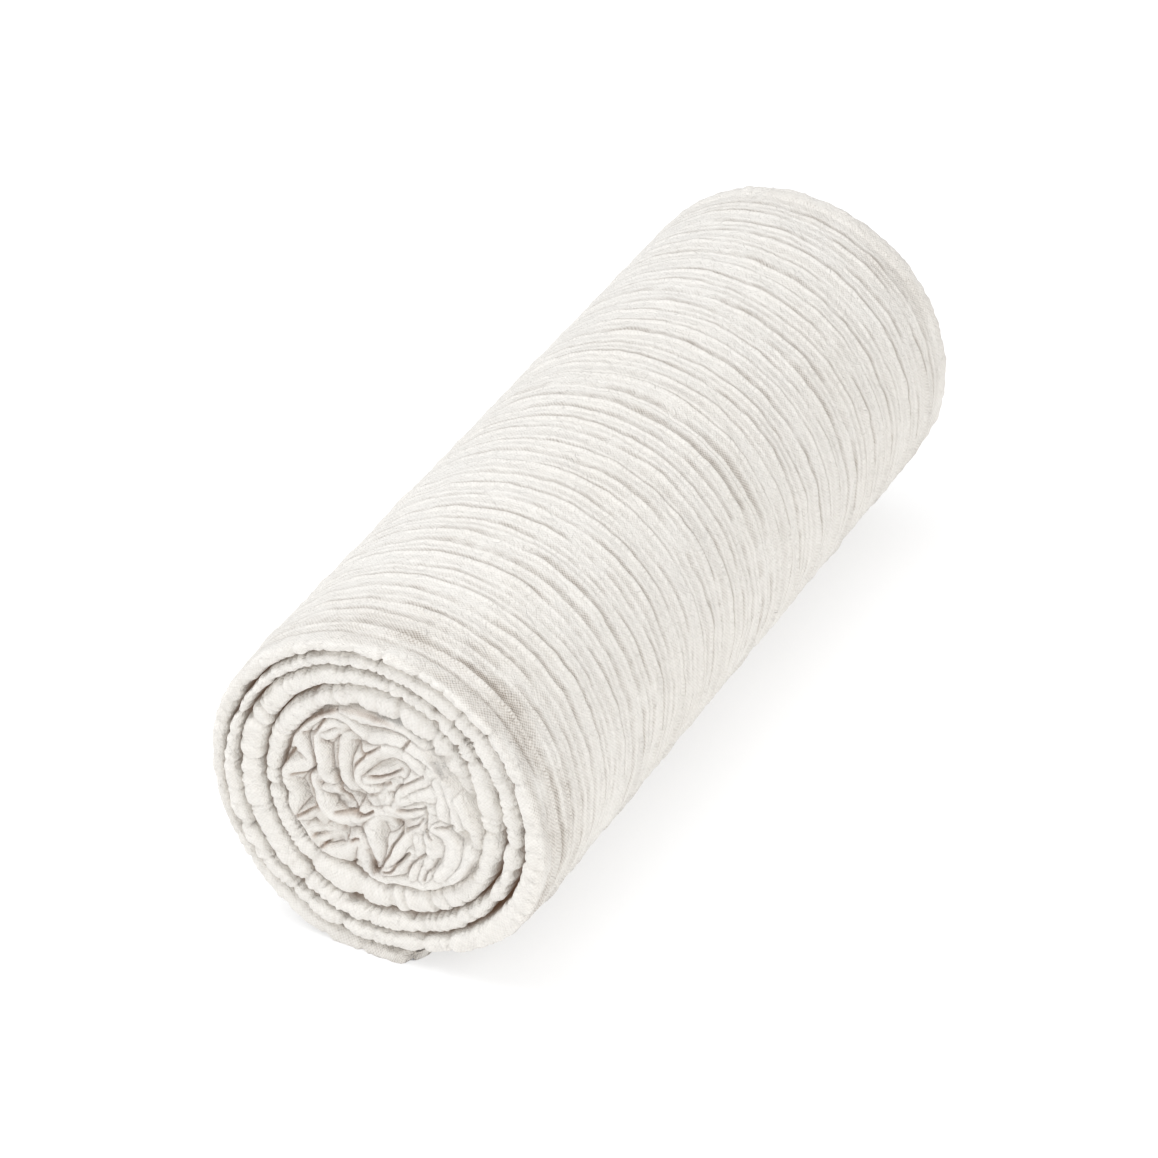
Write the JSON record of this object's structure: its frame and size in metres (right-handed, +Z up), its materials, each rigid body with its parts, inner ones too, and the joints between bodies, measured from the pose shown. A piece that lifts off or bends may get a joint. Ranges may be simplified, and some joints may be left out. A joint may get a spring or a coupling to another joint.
{
  "type": "rolled fitted crib sheet",
  "caption": "Fitted crib sheet of crinkled muslin, folded into a long strip and rolled into a soft cylinder that lies on its side on its own loose end.",
  "frame": {"origin": "on the surface that the roll lies on, under the middle of the roll", "axes": "+Y along the roll, from the near end that shows its turns to the far end; +X to the right seen from the near end; +Z up"},
  "size_m": [0.1212, 0.3004, 0.1192],
  "materials": {
    "muslin": "matt"
  },
  "bodies": {
    "root": {"roll": "muslin", "loose_end": "muslin"}
  },
  "joints": []
}
